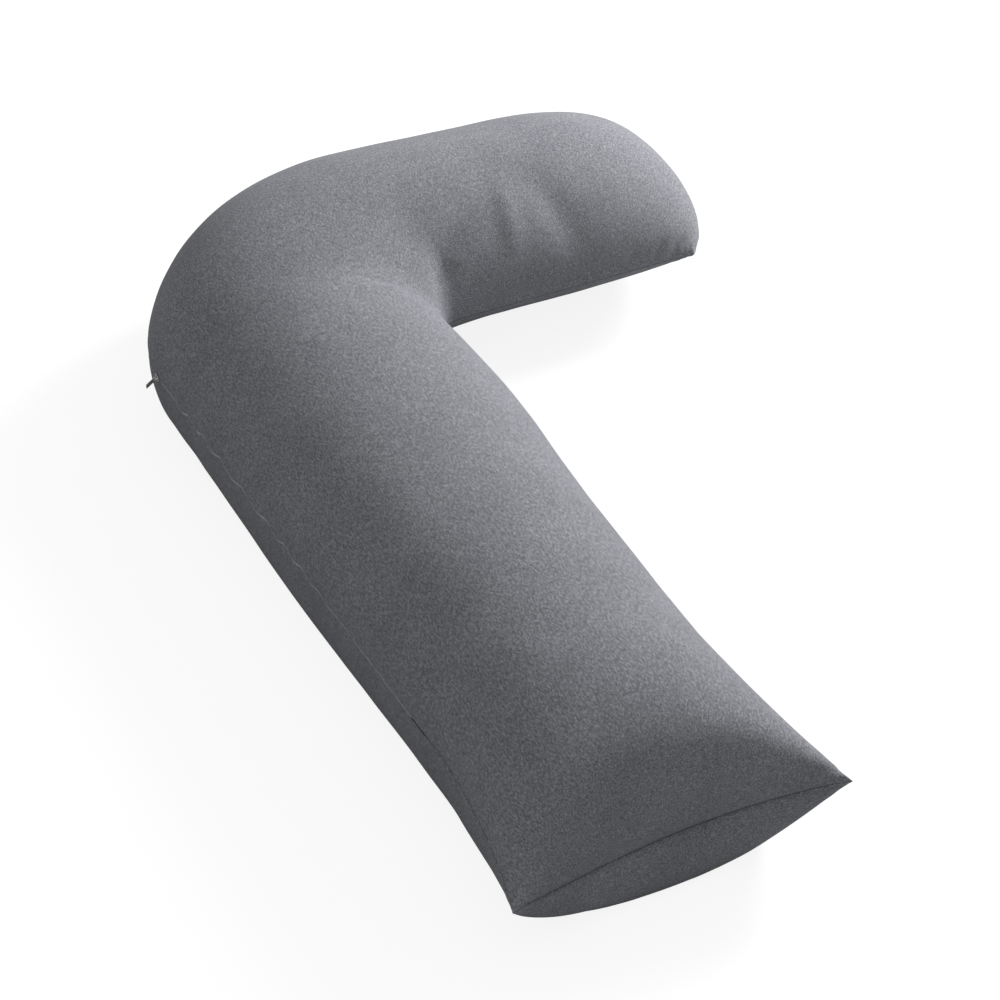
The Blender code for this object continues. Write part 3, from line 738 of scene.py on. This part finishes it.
def seam_loop(stations, angles, inset):
    """The seam from the zip's low end past the near end, the inner side and the far end."""
    points = skin(stations, angles, 1, inset)
    edge = border_of(np.arange(points[..., 0].size).reshape(points.shape[:2]))
    points = points.reshape(-1, 3)[edge]
    on_zip = np.repeat(stations, len(angles))[edge]
    on_outer_side = np.tile(angles, len(stations))[edge] == 0
    below = on_zip < ZIP_LOW_STATION - SLIT_TAPER
    above = on_zip > ZIP_HIGH_STATION + SLIT_TAPER
    low = on_outer_side & below
    kept = ~on_outer_side | below | above
    turn = int(np.argmax(low & (np.arange(len(edge)) > len(edge) // 2)))
    return np.roll(points, -turn, axis=0)[np.roll(kept, -turn)]


COVER_STITCH_INSET = GROOVE_DEPTH + 0.1 * MM
CLOSING_FROM = LONG_RUN + ELBOW_RUN + 0.05
CLOSING_LENGTH = 0.15
CLOSING_STITCHES = 12
CLOSING_BITE = 2.0 * MM


def add_seam_threads(material):
    for name, node, stations, angles, inset in (
        ("cover_seam_stitches", "cover_seam_thread", FINE_STATIONS, FINE_ANGLES, COVER_STITCH_INSET),
        ("liner_seam_stitches", "liner_seam_thread", INNER_STATIONS, INNER_ANGLES, LINER_THREAD_INSET),
    ):
        mesh = joined_mesh(name, stitches(seam_loop(stations, angles, inset)))
        piece(name, mesh, material, "pillow", "thread", node)
    stations = np.linspace(CLOSING_FROM, CLOSING_FROM + CLOSING_LENGTH, 2 * CLOSING_STITCHES)
    zigzag = skin(stations, [0.0], 1, LINER_THREAD_INSET)[:, 0]
    zigzag[0::2, 2] += CLOSING_BITE
    zigzag[1::2, 2] -= CLOSING_BITE
    closing = joined_mesh("liner_closing_hand_stitch", [tube(zigzag, THREAD_RADIUS)])
    piece("liner_closing_hand_stitch", closing, material, "pillow", "thread", "liner_closing_stitch")


def patch(name, stations, angles, side, inset, thickness):
    """Mesh of a strip or label that lies along the shaped skin, closed all round."""
    layers = [shaped(stations, angles, side, depth) for depth in (inset, inset + thickness)]
    grid = np.arange(layers[0][..., 0].size).reshape(layers[0].shape[:2])
    faces = grid_faces(grid, side) + grid_faces(grid + grid.size, -side)
    faces += ring_faces(border_of(grid), border_of(grid) + grid.size, side)
    return new_mesh(name, np.concatenate([layer.reshape(-1, 3) for layer in layers]), faces)


LABEL_MARGIN = 3 * MM
LABEL_EDGE_ANGLE = 0.02
LABEL_COLUMNS = 16


def add_labels(material):
    """Blank woven labels, one inside the cover near the zip and one outside the liner."""
    for name, node, middle, side, inset in (
        ("cover_care_label_satin", "cover_care_label", 0.0, -1, COVER_LABEL_INSET),
        ("liner_care_label_satin", "liner_care_label", math.pi, 1, LINER_LABEL_INSET),
    ):
        low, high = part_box(node)
        line = skin(FINE_STATIONS, [middle], side, inset)[:, 0]
        above = line[:, :2] > np.array(low)[:2] - LABEL_MARGIN
        below = line[:, :2] < np.array(high)[:2] + LABEL_MARGIN
        stations = FINE_STATIONS[np.all(above & below, axis=1)]
        reach = (high.z - low.z) / (SHORT_RISE if side > 0 else LONG_DEPTH)
        angles = np.abs(middle - np.linspace(LABEL_EDGE_ANGLE, reach, LABEL_COLUMNS))
        mesh = patch(name, stations, np.sort(angles), side, inset, LABEL_THICKNESS)
        piece(name, mesh, material, "pillow", "label", node)


# The zip.

TAPE_ANGLES = np.linspace(0.021, 0.115, 8)
TAPE_ROWS = 260
STITCH_ANGLE = 0.060
STITCH_STEP = 0.01
COIL_PITCH = 1.5 * MM
COIL_WIRE_RADIUS = 0.27 * MM
COIL_HALF_DEPTH = 0.65 * MM
COIL_HALF_WIDTH = 0.85 * MM
COIL_STEPS = 8


def add_zip_tapes(tape_material, thread_material):
    low, high = ZIP_LOW_STATION - SLIT_TAPER, ZIP_HIGH_STATION + SLIT_TAPER
    stations = np.linspace(low, high, TAPE_ROWS)
    for name, side in (("upper", 1), ("lower", -1)):
        mesh = patch("zip_tape_%s_twill" % name, stations, TAPE_ANGLES, side, TAPE_INSET, TAPE_THICKNESS)
        piece(mesh.name, mesh, tape_material, "pillow", "zip_tape", "zip_tape_" + name)
        sewn = stations[(stations > ZIP_LOW_STATION) & (stations < ZIP_HIGH_STATION)]
        path = shaped(sewn, [STITCH_ANGLE - STITCH_STEP, STITCH_ANGLE], side, COVER_THREAD_INSET)[:, 1]
        mesh = joined_mesh("zip_stitch_%s_run" % name, stitches(path))
        piece(mesh.name, mesh, thread_material, "pillow", "thread", "zip_stitch_" + name)


def add_zip_coils(material):
    """A nylon coil sewn to each tape; both follow the slow waves of the slit."""
    count = round((COIL_HIGH.y - COIL_LOW.y) / COIL_PITCH * COIL_STEPS)
    along = np.linspace(COIL_LOW.y, COIL_HIGH.y, count)
    stations = (LONG_REACH + along) / (LONG_REACH - ELBOW_FROM) * LONG_RUN
    turn = 2 * math.pi * np.arange(count) / COIL_STEPS
    for name, side in (("upper", 1), ("lower", -1)):
        path = skin(stations, [0.0], 1, COIL_SHOWN_DEPTH)[:, 0]
        path[:, 0] += COIL_HALF_DEPTH * np.sin(turn)
        path[:, 2] += side * (COIL_OFFSET + COIL_HALF_WIDTH * np.cos(turn)) + zip_wave(stations)
        mesh = joined_mesh("zip_coil_%s_spiral" % name, [tube(path, COIL_WIRE_RADIUS, 5)])
        piece(mesh.name, mesh, material, "pillow", "zip_nylon", "zip_coil_" + name)


METAL_NODES = (
    "zip_top_stop_upper",
    "zip_top_stop_lower",
    "zip_bottom_stop",
    "zip_slider_body",
    "zip_pull_tab",
)


def finish_metal(material):
    for name in METAL_NODES:
        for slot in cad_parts[name].material_slots:
            slot.material = material


# Materials.


def node_material(name):
    material = bpy.data.materials.new(name)
    material.use_nodes = True
    return material, material.node_tree.nodes, material.node_tree.links


def mapped(nodes, links, scale, turn=(0.0, 0.0, 0.0)):
    """Object coordinates, scaled and turned."""
    coordinates = nodes.new("ShaderNodeTexCoord")
    mapping = nodes.new("ShaderNodeMapping")
    mapping.inputs["Scale"].default_value = scale
    mapping.inputs["Rotation"].default_value = turn
    links.new(coordinates.outputs["Object"], mapping.inputs["Vector"])
    return mapping.outputs["Vector"]


def noise_node(nodes, links, vector, scale, detail=2.0, roughness=0.5):
    node = nodes.new("ShaderNodeTexNoise")
    node.inputs["Scale"].default_value = scale
    node.inputs["Detail"].default_value = detail
    node.inputs["Roughness"].default_value = roughness
    links.new(vector, node.inputs["Vector"])
    return node.outputs["Fac"]


def ramp(nodes, links, value, stops):
    node = nodes.new("ShaderNodeValToRGB")
    while len(node.color_ramp.elements) < len(stops):
        node.color_ramp.elements.new(0.5)
    for element, (position, colour) in zip(node.color_ramp.elements, stops):
        element.position = position
        element.color = (*colour, 1.0)
    links.new(value, node.inputs["Fac"])
    return node.outputs["Color"]


def mixed(nodes, links, kind, factor, first, second):
    node = nodes.new("ShaderNodeMix")
    node.data_type = "RGBA"
    node.blend_type = kind
    node.inputs[0].default_value = factor
    links.new(first, node.inputs[6])
    links.new(second, node.inputs[7])
    return node.outputs[2]


def bump(nodes, links, height, distance, strength=1.0, before=None):
    node = nodes.new("ShaderNodeBump")
    node.inputs["Strength"].default_value = strength
    node.inputs["Distance"].default_value = distance
    links.new(height, node.inputs["Height"])
    if before is not None:
        links.new(before, node.inputs["Normal"])
    return node.outputs["Normal"]


def jersey():
    """Heather jersey: short light and dark fibre streaks along the long arm, over a fine knit."""
    material, nodes, links = node_material("grey_heather_jersey_look")
    shader = nodes["Principled BSDF"]
    streak = mapped(nodes, links, (1 / (1.5 * MM), 1 / (4.6 * MM), 1 / (1.5 * MM)))
    fleck = mapped(nodes, links, (1 / (0.9 * MM), 1 / (2.2 * MM), 1 / (0.9 * MM)), (0, 0, 0.15))
    body = ramp(
        nodes,
        links,
        noise_node(nodes, links, streak, 1.0, 2.0, 0.6),
        ((0.32, (0.138, 0.143, 0.156)), (0.5, (0.212, 0.216, 0.234)), (0.68, (0.325, 0.328, 0.35))),
    )
    grain = ramp(
        nodes,
        links,
        noise_node(nodes, links, fleck, 1.0, 1.0, 0.5),
        ((0.30, (0.74, 0.74, 0.75)), (0.55, (1.0, 1.0, 1.0)), (0.75, (1.16, 1.16, 1.16))),
    )
    plain = mapped(nodes, links, (1, 1, 1))
    shade = ramp(
        nodes,
        links,
        noise_node(nodes, links, plain, 14.0, 3.0, 0.55),
        ((0.3, (0.93, 0.93, 0.94)), (0.7, (1.05, 1.05, 1.05))),
    )
    colour = mixed(nodes, links, "MULTIPLY", 1.0, body, grain)
    colour = mixed(nodes, links, "MULTIPLY", 1.0, colour, shade)
    links.new(colour, shader.inputs["Base Color"])
    shader.inputs["Roughness"].default_value = 0.92
    shader.inputs["Specular IOR Level"].default_value = 0.15
    shader.inputs["Sheen Weight"].default_value = 0.12
    shader.inputs["Sheen Roughness"].default_value = 0.6
    shader.inputs["Sheen Tint"].default_value = (0.8, 0.82, 0.88, 1.0)
    knit = bump(nodes, links, noise_node(nodes, links, fleck, 1.0, 2.0, 0.6), 0.5 * MM, 0.6)
    uneven = bump(nodes, links, noise_node(nodes, links, plain, 160.0, 2.0), 0.6 * MM, 0.5, knit)
    links.new(uneven, shader.inputs["Normal"])
    return material


def cloth_shader(shader, roughness, sheen):
    shader.inputs["Roughness"].default_value = roughness
    shader.inputs["Specular IOR Level"].default_value = 0.2
    shader.inputs["Sheen Weight"].default_value = sheen
    shader.inputs["Sheen Roughness"].default_value = 0.6


def weave_height(nodes, links, pitch, turn):
    """Height of a plain weave: two crossed sets of ridges."""
    vector = mapped(nodes, links, (1 / pitch, 1 / pitch, 1 / pitch), turn)
    heights = []
    for direction in ("X", "Y"):
        wave = nodes.new("ShaderNodeTexWave")
        wave.bands_direction = direction
        wave.inputs["Scale"].default_value = 0.314
        wave.inputs["Distortion"].default_value = 0.6
        wave.inputs["Detail Scale"].default_value = 2.0
        links.new(vector, wave.inputs["Vector"])
        heights.append(wave.outputs["Fac"])
    highest = nodes.new("ShaderNodeMath")
    highest.operation = "MAXIMUM"
    links.new(heights[0], highest.inputs[0])
    links.new(heights[1], highest.inputs[1])
    return highest.outputs["Value"]


def woven(name, dark, light, pitch, roughness, sheen, turn=(0.0, 0.0, 0.0)):
    """Woven cloth: the weave in height and colour, with slow soiling and unevenness."""
    material, nodes, links = node_material(name)
    shader = nodes["Principled BSDF"]
    cloth_shader(shader, roughness, sheen)
    weave = weave_height(nodes, links, pitch, turn)
    threads = ramp(nodes, links, weave, ((0.1, dark), (0.9, light)))
    plain = mapped(nodes, links, (1, 1, 1))
    patches = noise_node(nodes, links, plain, 22.0, 3.0, 0.6)
    shade = ramp(nodes, links, patches, ((0.3, (0.9, 0.9, 0.89)), (0.7, (1.0, 1.0, 1.0))))
    links.new(mixed(nodes, links, "MULTIPLY", 1.0, threads, shade), shader.inputs["Base Color"])
    links.new(bump(nodes, links, weave, 0.25 * MM, 0.8), shader.inputs["Normal"])
    return material


def thread_look():
    """Spun thread: a fine diagonal twist with fuzz."""
    material, nodes, links = node_material("grey_sewing_thread_look")
    shader = nodes["Principled BSDF"]
    cloth_shader(shader, 0.75, 0.3)
    vector = mapped(nodes, links, (1 / (0.35 * MM),) * 3, (0.5, 0.4, 0.6))
    twist = noise_node(nodes, links, vector, 1.0, 2.0, 0.6)
    colour = ramp(nodes, links, twist, ((0.3, (0.045, 0.046, 0.05)), (0.7, (0.11, 0.112, 0.12))))
    links.new(colour, shader.inputs["Base Color"])
    links.new(bump(nodes, links, twist, 0.12 * MM, 0.7), shader.inputs["Normal"])
    return material


def fibre_look():
    """Fluffy polyester fibre: tangled strands, light and soft."""
    material, nodes, links = node_material("white_polyester_fibre_look")
    shader = nodes["Principled BSDF"]
    cloth_shader(shader, 1.0, 0.5)
    strands = mapped(nodes, links, (1 / (0.8 * MM), 1 / (7 * MM), 1 / (0.8 * MM)), (0.3, 0.2, 0.7))
    tangle = noise_node(nodes, links, strands, 1.0, 5.0, 0.7)
    colour = ramp(nodes, links, tangle, ((0.25, (0.72, 0.72, 0.70)), (0.75, (0.93, 0.93, 0.91))))
    links.new(colour, shader.inputs["Base Color"])
    links.new(bump(nodes, links, tangle, 1.5 * MM, 0.9), shader.inputs["Normal"])
    return material


def nylon_look():
    """Pale nylon monofilament: slightly glossy, with faint scuffs."""
    material, nodes, links = node_material("pale_zip_nylon_look")
    shader = nodes["Principled BSDF"]
    shader.inputs["Subsurface Weight"].default_value = 0.15
    shader.inputs["Subsurface Radius"].default_value = (0.5 * MM, 0.5 * MM, 0.5 * MM)
    plain = mapped(nodes, links, (1, 1, 1))
    scuffs = noise_node(nodes, links, plain, 900.0, 3.0, 0.6)
    colour = ramp(nodes, links, scuffs, ((0.3, (0.78, 0.79, 0.79)), (0.7, (0.93, 0.94, 0.94))))
    links.new(colour, shader.inputs["Base Color"])
    rough = ramp(nodes, links, scuffs, ((0.3, (0.3, 0.3, 0.3)), (0.7, (0.5, 0.5, 0.5))))
    links.new(rough, shader.inputs["Roughness"])
    return material


def metal_look():
    """Nickel-plated zip metal: drawn scratches, duller patches, and edges worn bright."""
    material, nodes, links = node_material("nickel_zip_metal_look")
    shader = nodes["Principled BSDF"]
    shader.inputs["Metallic"].default_value = 1.0
    scratches = mapped(nodes, links, (1 / (0.12 * MM), 1 / (2.5 * MM), 1 / (0.12 * MM)), (0, 0, 0.6))
    drawn = noise_node(nodes, links, scratches, 1.0, 3.0, 0.6)
    plain = mapped(nodes, links, (1, 1, 1))
    dull = noise_node(nodes, links, plain, 500.0, 3.0, 0.6)
    edges = nodes.new("ShaderNodeNewGeometry").outputs["Pointiness"]
    base = ramp(nodes, links, dull, ((0.35, (0.66, 0.66, 0.64)), (0.65, (0.84, 0.84, 0.82))))
    worn = ramp(nodes, links, edges, ((0.50, (1.0, 1.0, 1.0)), (0.60, (1.25, 1.25, 1.25))))
    links.new(mixed(nodes, links, "MULTIPLY", 1.0, base, worn), shader.inputs["Base Color"])
    rough = ramp(nodes, links, dull, ((0.3, (0.22, 0.22, 0.22)), (0.7, (0.42, 0.42, 0.42))))
    links.new(rough, shader.inputs["Roughness"])
    links.new(bump(nodes, links, drawn, 0.02 * MM, 0.6), shader.inputs["Normal"])
    return material


# Stage.

CAMERA_AZIMUTH = math.radians(-26.65)
CAMERA_ELEVATION = math.radians(37.6)
CAMERA_TARGET = Vector((0.0844, -0.4923, 0.08))
CAMERA_DISTANCE = 2.978
CAMERA_LENS = 98.2


def look_at(obj, target):
    obj.rotation_euler = (target - obj.location).to_track_quat("-Z", "Y").to_euler()


def add_camera():
    back = Vector(
        (
            math.sin(CAMERA_AZIMUTH) * math.cos(CAMERA_ELEVATION),
            -math.cos(CAMERA_AZIMUTH) * math.cos(CAMERA_ELEVATION),
            math.sin(CAMERA_ELEVATION),
        )
    )
    data = bpy.data.cameras.new("camera")
    data.lens = CAMERA_LENS
    camera = bpy.data.objects.new("camera", data)
    camera.location = CAMERA_TARGET + back * CAMERA_DISTANCE
    look_at(camera, CAMERA_TARGET)
    bpy.context.scene.collection.objects.link(camera)
    bpy.context.scene.camera = camera


def add_light(name, azimuth, elevation, distance, size, watts):
    """A square soft box that shines at the middle of the pillow."""
    data = bpy.data.lights.new(name, "AREA")
    data.size = size
    data.energy = watts
    light = bpy.data.objects.new(name, data)
    turn, lift = math.radians(azimuth), math.radians(elevation)
    direction = (math.cos(turn) * math.cos(lift), math.sin(turn) * math.cos(lift), math.sin(lift))
    light.location = CAMERA_TARGET + Vector(direction) * distance
    look_at(light, CAMERA_TARGET)
    bpy.context.scene.collection.objects.link(light)


FLOOR_HALF = 9.0
FLOOR_CORNERS = ((-1, -1), (1, -1), (1, 1), (-1, 1))
FLOOR_DROP = 0.5 * MM
FLOOR_ALBEDO = 0.45
FLOOR_GLOW = 0.87
FLOOR_SHADE = 0.20
AMBIENT = 0.44


def pale_floor():
    """A pale floor whose own glow, seen only by the camera, keeps its shadows faint."""
    material, nodes, links = node_material("pale_floor")
    shader = nodes["Principled BSDF"]
    shader.inputs["Roughness"].default_value = 0.9
    shader.inputs["Specular IOR Level"].default_value = 0.0
    path = nodes.new("ShaderNodeLightPath")
    shade = nodes.new("ShaderNodeMapRange")
    shade.inputs["To Min"].default_value = FLOOR_ALBEDO
    shade.inputs["To Max"].default_value = FLOOR_SHADE
    links.new(path.outputs["Is Camera Ray"], shade.inputs["Value"])
    links.new(shade.outputs["Result"], shader.inputs["Base Color"])
    glow = nodes.new("ShaderNodeMath")
    glow.operation = "MULTIPLY"
    glow.inputs[1].default_value = FLOOR_GLOW
    links.new(path.outputs["Is Camera Ray"], glow.inputs[0])
    shader.inputs["Emission Color"].default_value = (1, 1, 1, 1)
    links.new(glow.outputs["Value"], shader.inputs["Emission Strength"])
    return material


def add_stage():
    corners = [(x * FLOOR_HALF, y * FLOOR_HALF, -FLOOR_DROP) for x, y in FLOOR_CORNERS]
    mesh = bpy.data.meshes.new("floor")
    mesh.from_pydata(corners, [], [(0, 1, 2, 3)])
    mesh.materials.append(pale_floor())
    floor = bpy.data.objects.new("floor", mesh)
    bpy.context.scene.collection.objects.link(floor)
    world = bpy.data.worlds.new("studio")
    world.use_nodes = True
    world.node_tree.nodes["Background"].inputs["Color"].default_value = (1, 1, 1, 1)
    world.node_tree.nodes["Background"].inputs["Strength"].default_value = AMBIENT
    bpy.context.scene.world = world
    bpy.context.scene.view_settings.view_transform = "Standard"
    add_light("key_light", azimuth=20, elevation=27, distance=3.2, size=0.9, watts=135)
    add_camera()


# Colours of the dips and ridges of the three woven cloths, and the pitch of their threads.
LINER_DARK, LINER_LIGHT, LINER_WEAVE = (0.60, 0.60, 0.58), (0.86, 0.86, 0.84), 0.7 * MM
SATIN_DARK, SATIN_LIGHT, SATIN_WEAVE = (0.74, 0.74, 0.73), (0.92, 0.92, 0.91), 0.35 * MM
TAPE_DARK, TAPE_LIGHT, TAPE_WEAVE = (0.09, 0.09, 0.10), (0.26, 0.26, 0.28), 0.6 * MM
TWILL_TURN = (0, 0, 0.785)


def main():
    thread = thread_look()
    add_cover(jersey())
    add_liner(woven("white_liner_cloth_look", LINER_DARK, LINER_LIGHT, LINER_WEAVE, 0.9, 0.2))
    add_filling(fibre_look())
    add_seam_threads(thread)
    add_labels(woven("white_label_satin_look", SATIN_DARK, SATIN_LIGHT, SATIN_WEAVE, 0.55, 0.1))
    twill = woven("grey_zip_tape_look", TAPE_DARK, TAPE_LIGHT, TAPE_WEAVE, 0.85, 0.2, TWILL_TURN)
    add_zip_tapes(twill, thread)
    add_zip_coils(nylon_look())
    finish_metal(metal_look())
    add_stage()


main()
